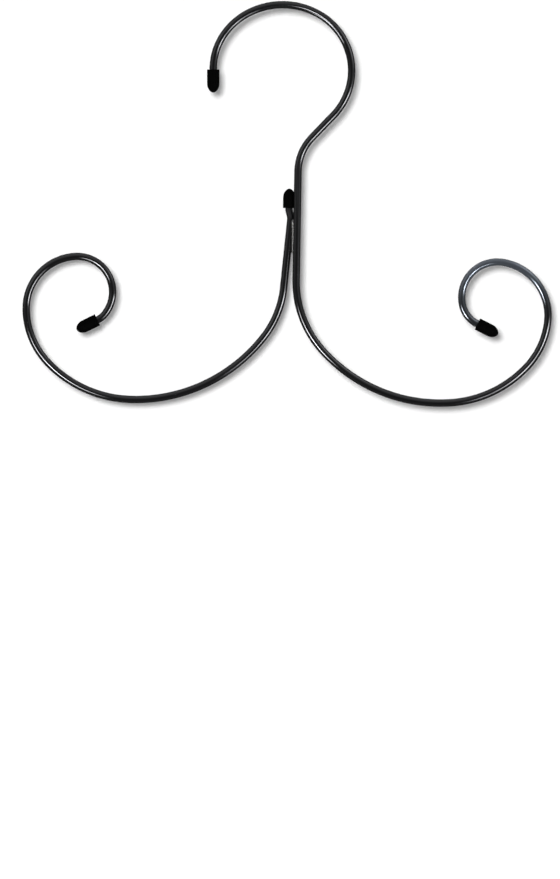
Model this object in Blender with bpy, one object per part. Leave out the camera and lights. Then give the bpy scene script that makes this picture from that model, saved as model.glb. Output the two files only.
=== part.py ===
"""A wire hanger with a hook, a neck and two arms that curl into scrolls, and a push-on tip on each wire end.

Metres, +Z up. The hanger hangs in the XZ plane. The origin is the highest point of the hook's inner side, where
the hanger rests on its rail. +X points to the scroll of the long wire, and +Y points to the back.
"""

import math

import bmesh
import bpy
from mathutils import Vector

# Wire stock, the same for both wires
WIRE_DIAMETER = 0.0042
WIRE_END_CHAMFER = 0.0004
SEAT_GAP = 0.0003

# Push-on tips
TIP_WALL = 0.0010
TIP_LENGTH = 0.0127
TAIL_TIP_LENGTH = 0.0107
TIP_NOSE_LENGTH = 0.0047
TIP_END_WALL = 0.0030

# Hook from its crown round to the front tip, turning down on the left
HOOK_SHOULDER_RADIUS = 0.0410
HOOK_SHOULDER_TURN = 27.0
HOOK_CHEEK_RADIUS = 0.0370
HOOK_CHEEK_TURN = 26.0
HOOK_MOUTH_RADIUS = 0.0335
HOOK_MOUTH_TURN = 37.0

# Hook from its crown round the back to the neck
HOOK_BACK_RADIUS = 0.0405
HOOK_BACK_TURN = 30.0
HOOK_THROAT_RADIUS = 0.0355
HOOK_THROAT_TURN = 104.0
HOOK_SHANK_LENGTH = 0.0170
NECK_BEND_RADIUS = 0.0275
NECK_BEND_TURN = 43.0
NECK_LENGTH = 0.0595

# Right arm, from the neck to the end of its scroll
RIGHT_SHOULDER_RADIUS = 0.0570
RIGHT_SHOULDER_TURN = 43.0
RIGHT_BELLY_RADIUS = 0.0870
RIGHT_BELLY_TURN = 52.0
RIGHT_ELBOW_RADIUS = 0.0630
RIGHT_ELBOW_TURN = 43.0
RIGHT_RISE_RADIUS = 0.0430
RIGHT_RISE_TURN = 38.0
RIGHT_SCROLL_OUTER_RADIUS = 0.0295
RIGHT_SCROLL_OUTER_TURN = 86.0
RIGHT_SCROLL_INNER_RADIUS = 0.0195
RIGHT_SCROLL_INNER_TURN = 113.0
RIGHT_SCROLL_END_RADIUS = 0.0150
RIGHT_SCROLL_END_TURN = 49.0

# Left arm, from the weld to the end of its scroll
LEFT_LEAVE_RADIUS = 0.0250
LEFT_LEAVE_TURN = 5.0
LEFT_DESCENT_LENGTH = 0.0361
LEFT_SHOULDER_RADIUS = 0.0529
LEFT_SHOULDER_TURN = 32.0
LEFT_BELLY_RADIUS = 0.0895
LEFT_BELLY_TURN = 54.0
LEFT_ELBOW_RADIUS = 0.0655
LEFT_ELBOW_TURN = 44.0
LEFT_RISE_RADIUS = 0.0435
LEFT_RISE_TURN = 44.0
LEFT_SCROLL_OUTER_RADIUS = 0.0285
LEFT_SCROLL_OUTER_TURN = 87.0
LEFT_SCROLL_INNER_RADIUS = 0.0195
LEFT_SCROLL_INNER_TURN = 132.0
LEFT_SCROLL_END_RADIUS = 0.0110
LEFT_SCROLL_END_TURN = 25.0

# Weld between the wires, and the short wire's tail above it
WELD_DROP = 0.0260
TUCK_ANGLE = 38.0
TAIL_JOGGLE_LENGTH = 0.0055
BEAD_LENGTH = 0.0188
BEAD_DROP = 0.0097
BEAD_ROOT = 0.00018
BEAD_THROAT = 0.0011
BEAD_CROWN = 0.0002
BEAD_END_HEIGHT = 0.0002

# Fineness of the meshes
BEND_STEP = 6.0
WIRE_BEVEL_RESOLUTION = 6
TIP_SIDES = 24
NOSE_STEPS = 6
JOGGLE_STEPS = 10
BEAD_STATIONS = 21
BEAD_SIDE_STEPS = 4
BEAD_CROWN_STEPS = 4
SHARP_ANGLE = 40.0
MERGE_DISTANCE = 1e-6

# Finishes: colour, metallic, roughness
WIRE_FINISH = ((0.030, 0.030, 0.032), 0.85, 0.16)
WELD_FINISH = ((0.034, 0.033, 0.033), 0.85, 0.34)
TIP_FINISH = ((0.004, 0.004, 0.004), 0.0, 0.62)

WIRE_RADIUS = WIRE_DIAMETER / 2
TIP_BORE_RADIUS = WIRE_RADIUS + SEAT_GAP
TIP_RADIUS = TIP_BORE_RADIUS + TIP_WALL
WELD_SPACING = WIRE_DIAMETER + SEAT_GAP
TAIL_SPACING = TIP_RADIUS + SEAT_GAP + WIRE_RADIUS
BACK = Vector((0.0, 1.0, 0.0))


class WirePath:
    """A wire's centreline, laid down one run or bend after another in a plane parallel to XZ."""

    def __init__(self, start, heading):
        self.points = [Vector(start)]
        self.heading = math.radians(heading)

    def along(self):
        return Vector((math.cos(self.heading), 0.0, math.sin(self.heading)))

    def left(self):
        return Vector((-math.sin(self.heading), 0.0, math.cos(self.heading)))

    def run(self, length):
        self.points.append(self.points[-1] + self.along() * length)

    def bend(self, radius, turn):
        """Follow an arc by turn degrees, to the left if turn is positive and to the right if negative."""
        side = math.copysign(radius, turn)
        centre = self.points[-1] + self.left() * side
        steps = math.ceil(abs(turn) / BEND_STEP)
        start = self.heading
        for step in range(1, steps + 1):
            self.heading = start + math.radians(turn) * step / steps
            self.points.append(centre - self.left() * side)


class Seat:
    """Where a tip sits: the centre of its open mouth, and the direction in which it pulls off."""

    def __init__(self, mouth, outward):
        self.mouth = mouth
        self.outward = outward


def grip_length(tip_length):
    """How far a wire reaches into a tip."""
    return tip_length - TIP_END_WALL - SEAT_GAP


def end_in_tip(path, tip_length):
    """Finish a path with the straight stub that a tip sits on, and return the tip's seat."""
    path.run(SEAT_GAP)
    seat = Seat(path.points[-1].copy(), path.along())
    path.run(grip_length(tip_length) - WIRE_END_CHAMFER)
    path.run(WIRE_END_CHAMFER)
    return seat


def hook_front():
    """The hook's front half from crown to tip."""
    path = WirePath((0.0, 0.0, WIRE_RADIUS), 180.0)
    path.bend(HOOK_SHOULDER_RADIUS, HOOK_SHOULDER_TURN)
    path.bend(HOOK_CHEEK_RADIUS, HOOK_CHEEK_TURN)
    path.bend(HOOK_MOUTH_RADIUS, HOOK_MOUTH_TURN)
    seat = end_in_tip(path, TIP_LENGTH)
    return path, seat


def hook_back():
    """The hook's back half from crown to the top of the neck."""
    path = WirePath((0.0, 0.0, WIRE_RADIUS), 0.0)
    path.bend(HOOK_BACK_RADIUS, -HOOK_BACK_TURN)
    path.bend(HOOK_THROAT_RADIUS, -HOOK_THROAT_TURN)
    path.run(HOOK_SHANK_LENGTH)
    path.bend(NECK_BEND_RADIUS, NECK_BEND_TURN)
    return path


def right_arm(path):
    """Carry the long wire on from the top of the neck to the end of the right scroll."""
    path.run(NECK_LENGTH)
    path.bend(RIGHT_SHOULDER_RADIUS, RIGHT_SHOULDER_TURN)
    path.bend(RIGHT_BELLY_RADIUS, RIGHT_BELLY_TURN)
    path.bend(RIGHT_ELBOW_RADIUS, RIGHT_ELBOW_TURN)
    path.bend(RIGHT_RISE_RADIUS, RIGHT_RISE_TURN)
    path.bend(RIGHT_SCROLL_OUTER_RADIUS, RIGHT_SCROLL_OUTER_TURN)
    path.bend(RIGHT_SCROLL_INNER_RADIUS, RIGHT_SCROLL_INNER_TURN)
    path.bend(RIGHT_SCROLL_END_RADIUS, RIGHT_SCROLL_END_TURN)
    return end_in_tip(path, TIP_LENGTH)


class Neck:
    """The neck's axis, from which the weld and the short wire are placed."""

    def __init__(self, path):
        self.top = path.points[-1].copy()
        self.down = path.along()
        self.heading = math.degrees(path.heading)
        tuck = math.radians(TUCK_ANGLE)
        left = -path.left() if path.left().x > 0 else path.left()
        self.aside = left * math.cos(tuck) + BACK * math.sin(tuck)
        self.front = left * math.sin(tuck) - BACK * math.cos(tuck)

    def beside(self, drop, spacing):
        """A point below the neck's top, spacing away on the side where the short wire lies."""
        return self.top + self.down * drop + self.aside * spacing


def left_arm(neck):
    """The short wire from the weld to the end of the left scroll."""
    path = WirePath(neck.beside(WELD_DROP, WELD_SPACING), neck.heading)
    path.bend(LEFT_LEAVE_RADIUS, -LEFT_LEAVE_TURN)
    path.run(LEFT_DESCENT_LENGTH)
    path.bend(LEFT_SHOULDER_RADIUS, -LEFT_SHOULDER_TURN)
    path.bend(LEFT_BELLY_RADIUS, -LEFT_BELLY_TURN)
    path.bend(LEFT_ELBOW_RADIUS, -LEFT_ELBOW_TURN)
    path.bend(LEFT_RISE_RADIUS, -LEFT_RISE_TURN)
    path.bend(LEFT_SCROLL_OUTER_RADIUS, -LEFT_SCROLL_OUTER_TURN)
    path.bend(LEFT_SCROLL_INNER_RADIUS, -LEFT_SCROLL_INNER_TURN)
    path.bend(LEFT_SCROLL_END_RADIUS, -LEFT_SCROLL_END_TURN)
    seat = end_in_tip(path, TIP_LENGTH)
    return path, seat


def smooth_step(share):
    return share * share * (3 - 2 * share)


def tail(neck):
    """The short wire from the weld up to its top end, stepping away from the neck to make room for its tip."""
    points = []
    for step in range(JOGGLE_STEPS + 1):
        share = step / JOGGLE_STEPS
        spacing = WELD_SPACING + (TAIL_SPACING - WELD_SPACING) * smooth_step(share)
        points.append(neck.beside(WELD_DROP - TAIL_JOGGLE_LENGTH * share, spacing))
    mouth = points[-1] - neck.down * SEAT_GAP
    points.append(mouth)
    grip = grip_length(TAIL_TIP_LENGTH)
    points.append(mouth - neck.down * (grip - WIRE_END_CHAMFER))
    points.append(mouth - neck.down * grip)
    return points, Seat(mouth.copy(), -neck.down)


def finish_material(name, finish):
    colour, metallic, roughness = finish
    material = bpy.data.materials.new(name)
    material.use_nodes = True
    shader = material.node_tree.nodes["Principled BSDF"]
    shader.inputs["Base Color"].default_value = (*colour, 1.0)
    shader.inputs["Metallic"].default_value = metallic
    shader.inputs["Roughness"].default_value = roughness
    material.diffuse_color = (*colour, 1.0)
    return material


def place(name, data, material, parent=None):
    thing = bpy.data.objects.new(name, data)
    data.materials.append(material)
    bpy.context.scene.collection.objects.link(thing)
    thing.parent = parent
    return thing


def wire_object(name, points, material):
    """A round wire along points, with flat ends whose rims are chamfered."""
    curve = bpy.data.curves.new(name, "CURVE")
    curve.dimensions = "3D"
    curve.bevel_depth = WIRE_RADIUS
    curve.bevel_resolution = WIRE_BEVEL_RESOLUTION
    curve.use_fill_caps = True
    spline = curve.splines.new("POLY")
    spline.points.add(len(points) - 1)
    for target, point in zip(spline.points, points):
        target.co = (*point, 1.0)
    for end in (spline.points[0], spline.points[-1]):
        end.radius = 1 - WIRE_END_CHAMFER / WIRE_RADIUS
    return place(name, curve, material)


def tip_profile(length):
    """Radius and height of the tip's wall, from the inside of its closed end round to the top of its nose."""
    barrel = length - TIP_NOSE_LENGTH
    bore_end = length - TIP_END_WALL
    profile = [(0.0, bore_end), (TIP_BORE_RADIUS, bore_end), (TIP_BORE_RADIUS, 0.0), (TIP_RADIUS, 0.0)]
    for step in range(NOSE_STEPS + 1):
        angle = math.pi / 2 * step / NOSE_STEPS
        profile.append((TIP_RADIUS * math.cos(angle), barrel + TIP_NOSE_LENGTH * math.sin(angle)))
    profile[-1] = (0.0, length)
    return profile


def tip_object(name, length, seat, material, parent):
    """A turned tip with its mouth on its seat and its nose pointing off the wire."""
    mesh = bpy.data.meshes.new(name)
    shape = bmesh.new()
    rim = [shape.verts.new((radius, 0.0, height)) for radius, height in tip_profile(length)]
    edges = [shape.edges.new(pair) for pair in zip(rim, rim[1:])]
    bmesh.ops.spin(
        shape, geom=rim + edges, cent=(0, 0, 0), axis=(0, 0, 1), angle=2 * math.pi, steps=TIP_SIDES, use_merge=True
    )
    bmesh.ops.remove_doubles(shape, verts=shape.verts, dist=MERGE_DISTANCE)
    bmesh.ops.recalc_face_normals(shape, faces=shape.faces)
    shape.to_mesh(mesh)
    shape.free()
    mesh.shade_smooth()
    mesh.set_sharp_from_angle(angle=math.radians(SHARP_ANGLE))
    tip = place(name, mesh, material, parent)
    tip.rotation_mode = "QUATERNION"
    tip.rotation_quaternion = Vector((0, 0, 1)).rotation_difference(seat.outward)
    tip.location = seat.mouth
    return tip


def spacing_at(neck, drop, wire):
    """Distance of the short wire's centreline from the neck's axis at this drop."""
    for upper, lower in zip(wire, wire[1:]):
        high = (upper - neck.top).dot(neck.down)
        low = (lower - neck.top).dot(neck.down)
        if high <= drop <= low:
            point = upper.lerp(lower, (drop - high) / (low - high))
            return (point - neck.top - neck.down * drop).length
    return WELD_SPACING


def bead_section(half, height):
    """Outline of the bead across the groove between the wires, as distances aside and out of the groove."""
    reach = WIRE_RADIUS + SEAT_GAP
    root = math.sqrt(max(reach**2 - half**2, 0.0)) + BEAD_ROOT
    top = root + height
    side = []
    for step in range(BEAD_SIDE_STEPS + 1):
        out = root + (top - root) * step / BEAD_SIDE_STEPS
        side.append((half - math.sqrt(max(reach**2 - out**2, 0.0)), out))
    width = side[-1][0]
    crown = []
    for step in range(1, BEAD_CROWN_STEPS):
        across = 1 - 2 * step / BEAD_CROWN_STEPS
        crown.append((width * across, top + BEAD_CROWN * (1 - across**2) * height / BEAD_THROAT))
    mirrored = [(-across, out) for across, out in reversed(side)]
    return side + crown + mirrored


def bead_object(name, neck, wire, facing, material):
    """A weld bead in the groove between the wires, thick in the middle and run out at both ends."""
    rings = []
    for station in range(BEAD_STATIONS):
        share = 2 * station / (BEAD_STATIONS - 1) - 1
        drop = WELD_DROP + BEAD_DROP + share * BEAD_LENGTH / 2
        height = BEAD_END_HEIGHT + (BEAD_THROAT - BEAD_END_HEIGHT) * math.sqrt(1 - share**2)
        half = spacing_at(neck, drop, wire) / 2
        centre = neck.beside(drop, half)
        rings.append([centre + neck.aside * across + facing * out for across, out in bead_section(half, height)])
    shape = bmesh.new()
    loops = [[shape.verts.new(point) for point in ring] for ring in rings]
    for first, second in zip(loops, loops[1:]):
        for index in range(len(first)):
            after = (index + 1) % len(first)
            shape.faces.new((first[index], first[after], second[after], second[index]))
    shape.faces.new(loops[0])
    shape.faces.new(loops[-1])
    bmesh.ops.recalc_face_normals(shape, faces=shape.faces)
    mesh = bpy.data.meshes.new(name)
    shape.to_mesh(mesh)
    shape.free()
    mesh.shade_smooth()
    mesh.set_sharp_from_angle(angle=math.radians(SHARP_ANGLE))
    return place(name, mesh, material)


def clear_scene():
    for thing in list(bpy.data.objects):
        bpy.data.objects.remove(thing, do_unlink=True)


def main():
    clear_scene()
    wire_material = finish_material("gloss_black_wire", WIRE_FINISH)
    weld_material = finish_material("black_weld", WELD_FINISH)
    tip_material = finish_material("black_vinyl", TIP_FINISH)

    front, hook_seat = hook_front()
    back = hook_back()
    neck = Neck(back)
    right_seat = right_arm(back)
    long_points = front.points[::-1] + back.points[1:]
    long_wire = wire_object("hook_and_right_arm_wire", long_points, wire_material)

    arm, left_seat = left_arm(neck)
    tail_points, tail_seat = tail(neck)
    short_points = tail_points[::-1] + arm.points[1:]
    short_wire = wire_object("left_arm_wire", short_points, wire_material)

    bead_object("weld_front", neck, short_points, neck.front, weld_material)
    bead_object("weld_rear", neck, short_points, -neck.front, weld_material)

    tip_object("hook_tip", TIP_LENGTH, hook_seat, tip_material, long_wire)
    tip_object("right_scroll_tip", TIP_LENGTH, right_seat, tip_material, long_wire)
    tip_object("left_scroll_tip", TIP_LENGTH, left_seat, tip_material, short_wire)
    tip_object("tail_tip", TAIL_TIP_LENGTH, tail_seat, tip_material, short_wire)


if __name__ == "__main__":
    main()
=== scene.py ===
"""Looks of the life jacket hanger: two bent wires, their weld and a vinyl tip on each wire end.

Metres, +Z up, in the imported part's frame: the origin is the highest point of the hook's inner side, +X
points to the long wire's scroll and +Y to the back. Each new piece is a surface worked out on a grid, and
stands for one node.
"""

import logging
import math
from dataclasses import dataclass, field
from enum import Enum

import bpy
import numpy as np
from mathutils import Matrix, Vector


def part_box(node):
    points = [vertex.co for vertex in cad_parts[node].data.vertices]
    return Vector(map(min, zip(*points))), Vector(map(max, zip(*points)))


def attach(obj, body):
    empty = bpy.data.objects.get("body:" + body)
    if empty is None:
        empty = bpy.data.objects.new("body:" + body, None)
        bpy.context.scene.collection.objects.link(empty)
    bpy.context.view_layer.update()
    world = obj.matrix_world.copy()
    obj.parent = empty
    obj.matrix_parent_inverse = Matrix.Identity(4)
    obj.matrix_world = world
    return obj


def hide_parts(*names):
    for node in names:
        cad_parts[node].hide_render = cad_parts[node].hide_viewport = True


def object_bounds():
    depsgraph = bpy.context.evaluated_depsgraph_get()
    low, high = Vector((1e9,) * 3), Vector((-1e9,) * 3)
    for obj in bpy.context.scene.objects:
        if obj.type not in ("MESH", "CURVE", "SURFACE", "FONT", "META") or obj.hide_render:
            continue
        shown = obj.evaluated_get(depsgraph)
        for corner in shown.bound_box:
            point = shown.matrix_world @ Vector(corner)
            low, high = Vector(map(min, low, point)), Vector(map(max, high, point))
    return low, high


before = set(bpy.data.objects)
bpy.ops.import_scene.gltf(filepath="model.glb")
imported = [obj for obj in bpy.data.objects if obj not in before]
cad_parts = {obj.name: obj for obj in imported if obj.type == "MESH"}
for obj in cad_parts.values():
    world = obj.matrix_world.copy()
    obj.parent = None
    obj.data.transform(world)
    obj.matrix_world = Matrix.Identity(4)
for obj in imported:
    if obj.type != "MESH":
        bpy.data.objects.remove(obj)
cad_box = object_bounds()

log = logging.getLogger("hanger")

# Unit vector out of the hanger's flat back.
BACK = np.array([0.0, 1.0, 0.0])
# Name of the attribute that holds each point's place in its piece's own measure.
PLACE = "place"
# Nearly all of a noise lies between these values.
NOISE_RANGE = (0.3, 0.7)
MILLIMETRES_PER_METRE = 1000


class Slot(Enum):
    """The record's material slots."""

    WIRE = "wire"
    WELD = "weld"
    TIP = "tip"


class Body(Enum):
    """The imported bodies: the welded hanger, and one for each tip that pulls off."""

    HANGER = "hanger"
    HOOK_TIP = "hook_tip"
    RIGHT_SCROLL_TIP = "right_scroll_tip"
    LEFT_SCROLL_TIP = "left_scroll_tip"
    TAIL_TIP = "tail_tip"


def unit(vectors: np.ndarray) -> np.ndarray:
    """Scale vectors to length one, along the last axis."""
    return vectors / np.linalg.norm(vectors, axis=-1, keepdims=True)


def smooth_step(share: np.ndarray) -> np.ndarray:
    """Ease from 0 to 1 as three times the share squared less twice the share cubed, flat at both ends."""
    held = np.clip(share, 0.0, 1.0)
    return held * held * (3 - 2 * held)


def around(sides: int) -> np.ndarray:
    """Angles of the points of a ring, one turn in equal parts, in radians."""
    return np.arange(sides) * (2 * math.pi / sides)


@dataclass(frozen=True)
class Loft:
    """A closed skin: rings of points one after another, and a pole that closes each end.

    Attributes:
        rings: Points as an array of rows, columns and three coordinates.
        places: For each of those points, where it lies in the piece's own measure, for its finish to
            follow.
        poles: The two points that close the first and the last ring.
        pole_places: Where the two poles lie in that measure.
    """

    rings: np.ndarray
    places: np.ndarray
    poles: np.ndarray
    pole_places: np.ndarray

    def mesh(self, name: str, sharp_angle: float) -> bpy.types.Mesh:
        """Put the skin into a mesh.

        Point (row, column) makes a four-sided face with its neighbours in the next column and the next
        row, columns counted round, and each pole makes a fan of triangles with its ring.

        Args:
            name: Name of the mesh.
            sharp_angle: Edges that turn by more than this many degrees are creased.

        Returns:
            The mesh, smooth but for its creased edges, with its places as an attribute.
        """
        rows, columns = self.rings.shape[:2]
        points = np.concatenate([self.rings.reshape(-1, 3), self.poles])
        places = np.concatenate([self.places.reshape(-1, 3), self.pole_places])
        index = np.arange(rows * columns).reshape(rows, columns)
        after = np.roll(index, -1, axis=1)
        quads = np.stack([index[:-1], after[:-1], after[1:], index[1:]], axis=-1).reshape(-1, 4)
        first, last = rows * columns, rows * columns + 1
        start_fan = np.stack([np.full(columns, first), after[0], index[0]], axis=-1)
        end_fan = np.stack([np.full(columns, last), index[-1], after[-1]], axis=-1)
        fans = np.concatenate([start_fan, end_fan])
        corners = np.concatenate([quads.ravel(), fans.ravel()])
        starts = np.concatenate([np.arange(len(quads)) * 4, len(quads) * 4 + np.arange(len(fans)) * 3])

        mesh = bpy.data.meshes.new(name)
        mesh.vertices.add(len(points))
        mesh.vertices.foreach_set("co", points.astype(np.float32).ravel())
        mesh.loops.add(len(corners))
        mesh.loops.foreach_set("vertex_index", corners.astype(np.int32))
        mesh.polygons.add(len(starts))
        mesh.polygons.foreach_set("loop_start", starts.astype(np.int32))
        mesh.update(calc_edges=True)
        mesh.validate()
        attribute = mesh.attributes.new(PLACE, "FLOAT_VECTOR", "POINT")
        attribute.data.foreach_set("vector", places.astype(np.float32).ravel())
        mesh.shade_smooth()
        mesh.set_sharp_from_angle(angle=math.radians(sharp_angle))
        return mesh


@dataclass(frozen=True)
class Run:
    """A straight step of a bend table.

    Attributes:
        length: How far it goes, in metres.
    """

    length: float

    def trace(self, start: np.ndarray, heading: float, spacing: float) -> tuple[np.ndarray, float]:
        """Points along the step: the start plus equal shares of the length along the heading.

        Args:
            start: Where the step begins.
            heading: Its direction in the hanger's plane, in radians.
            spacing: The widest distance between points.

        Returns:
            The points after the start, and the heading at the end.
        """
        count = max(1, math.ceil(self.length / spacing))
        shares = np.arange(1, count + 1)[:, None] / count
        along = np.array([math.cos(heading), 0.0, math.sin(heading)])
        return start + shares * self.length * along, heading


@dataclass(frozen=True)
class Bend:
    """A curved step of a bend table.

    Attributes:
        radius: Radius of the wire's centreline, in metres.
        turn: How far the heading turns, in degrees, to the left if positive.
    """

    radius: float
    turn: float

    def trace(self, start: np.ndarray, heading: float, spacing: float) -> tuple[np.ndarray, float]:
        """Points along the arc: its centre less the radius times the left-hand direction at each heading.

        Args:
            start: Where the arc begins.
            heading: The direction there, in radians.
            spacing: The widest distance between points.

        Returns:
            The points after the start, and the heading at the end.
        """
        turn = math.radians(self.turn)
        side = math.copysign(self.radius, turn)
        count = max(1, math.ceil(abs(turn) * self.radius / spacing))
        headings = heading + turn * np.arange(count + 1) / count
        left = np.stack([-np.sin(headings), np.zeros(count + 1), np.cos(headings)], axis=-1)
        centre = start + left[0] * side
        return centre - left[1:] * side, heading + turn


@dataclass
class Route:
    """A wire's centreline, laid down one step of its bend table after another.

    Attributes:
        points: The points so far, one row each.
        heading: Direction at the last point, in radians.
        spacing: The widest distance between points.
    """

    points: np.ndarray
    heading: float
    spacing: float

    @classmethod
    def begin(cls, start: np.ndarray, heading: float, spacing: float) -> "Route":
        """Start a route at a point, with a heading in degrees."""
        return cls(np.array([start], float), math.radians(heading), spacing)

    def follow(self, *steps: Run | Bend) -> "Route":
        """Carry the route on through steps of a bend table.

        Args:
            steps: The steps in their order.

        Returns:
            This route.
        """
        for step in steps:
            traced, self.heading = step.trace(self.points[-1], self.heading, self.spacing)
            self.points = np.concatenate([self.points, traced])
        return self

    def end(self) -> np.ndarray:
        """The last point."""
        return self.points[-1]

    def along(self) -> np.ndarray:
        """Direction at the last point."""
        return np.array([math.cos(self.heading), 0.0, math.sin(self.heading)])


@dataclass(frozen=True)
class Seat:
    """Where a tip sits: the centre of its open mouth, and the direction in which it pulls off."""

    mouth: np.ndarray
    outward: np.ndarray


@dataclass(frozen=True)
class Stock:
    """The wire that both halves are bent from.

    Attributes:
        radius: Half the wire's diameter.
        end_chamfer: How much is taken off the rim of a cut end.
        seat_gap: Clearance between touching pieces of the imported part.
        ovality: Share of flattening for each unit of wire radius over bend radius.
        ease: Length over which a bend's flattening comes and goes.
        sides: Points round the wire.
        spacing: Distance between rings along the wire.
        sharp_angle: Edges that turn by more than this many degrees are creased.
    """

    radius: float = 0.0021
    end_chamfer: float = 0.0004
    seat_gap: float = 0.0003
    ovality: float = 0.15
    ease: float = 0.0040
    sides: int = 48
    spacing: float = 0.0006
    sharp_angle: float = 35.0

    def grip(self, tip: "PushOnTip") -> float:
        """How far the wire reaches into a tip: its length less its end wall and a clearance."""
        return tip.length - tip.end_wall - self.seat_gap

    def end_in_tip(self, route: Route, tip: "PushOnTip") -> Seat:
        """Finish a route with the straight stub that a tip sits on.

        Args:
            route: The wire's centreline up to the stub.
            tip: The tip that goes on it.

        Returns:
            The tip's seat.
        """
        route.follow(Run(self.seat_gap))
        seat = Seat(route.end().copy(), route.along())
        route.follow(Run(self.grip(tip) - self.end_chamfer), Run(self.end_chamfer))
        return seat

    def skin(self, centreline: np.ndarray) -> Loft:
        """Sweep the wire's section along its centreline.

        A ring's points lie at the radius times the cosine of the turn along the back direction, and times
        its sine along the in-plane direction. In a bend the in-plane half is flattened by the ovality
        times the wire's radius over the bend's, and the other half bulges by half of that. The end rings
        are smaller by the chamfer.

        Args:
            centreline: Points from one cut end to the other.

        Returns:
            The wire's closed skin.
        """
        steps = np.linalg.norm(np.diff(centreline, axis=0), axis=1)
        lengths = np.concatenate([[0.0], np.cumsum(steps)])
        tangents = unit(np.gradient(centreline, lengths, axis=0))
        back = unit(BACK - (tangents @ BACK)[:, None] * tangents)
        aside = np.cross(tangents, back)

        curvature = np.linalg.norm(np.gradient(tangents, lengths, axis=0), axis=1)
        window = np.ones(max(1, round(self.ease / self.spacing)))
        eased = np.convolve(curvature, window / window.sum(), mode="same")
        flattening = self.ovality * self.radius * eased
        radii = np.full(len(lengths), self.radius)
        radii[[0, -1]] -= self.end_chamfer

        turn = around(self.sides)
        outward = (radii * (1 + flattening / 2))[:, None] * np.cos(turn)
        sideways = (radii * (1 - flattening))[:, None] * np.sin(turn)
        rings = centreline[:, None] + outward[..., None] * back[:, None]
        rings = rings + sideways[..., None] * aside[:, None]
        drawn = np.broadcast_to(lengths[:, None], outward.shape)
        places = np.stack([outward, sideways, drawn], axis=-1)
        pole_places = np.array([[0.0, 0.0, lengths[0]], [0.0, 0.0, lengths[-1]]])
        return Loft(rings, places, centreline[[0, -1]], pole_places)


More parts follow.
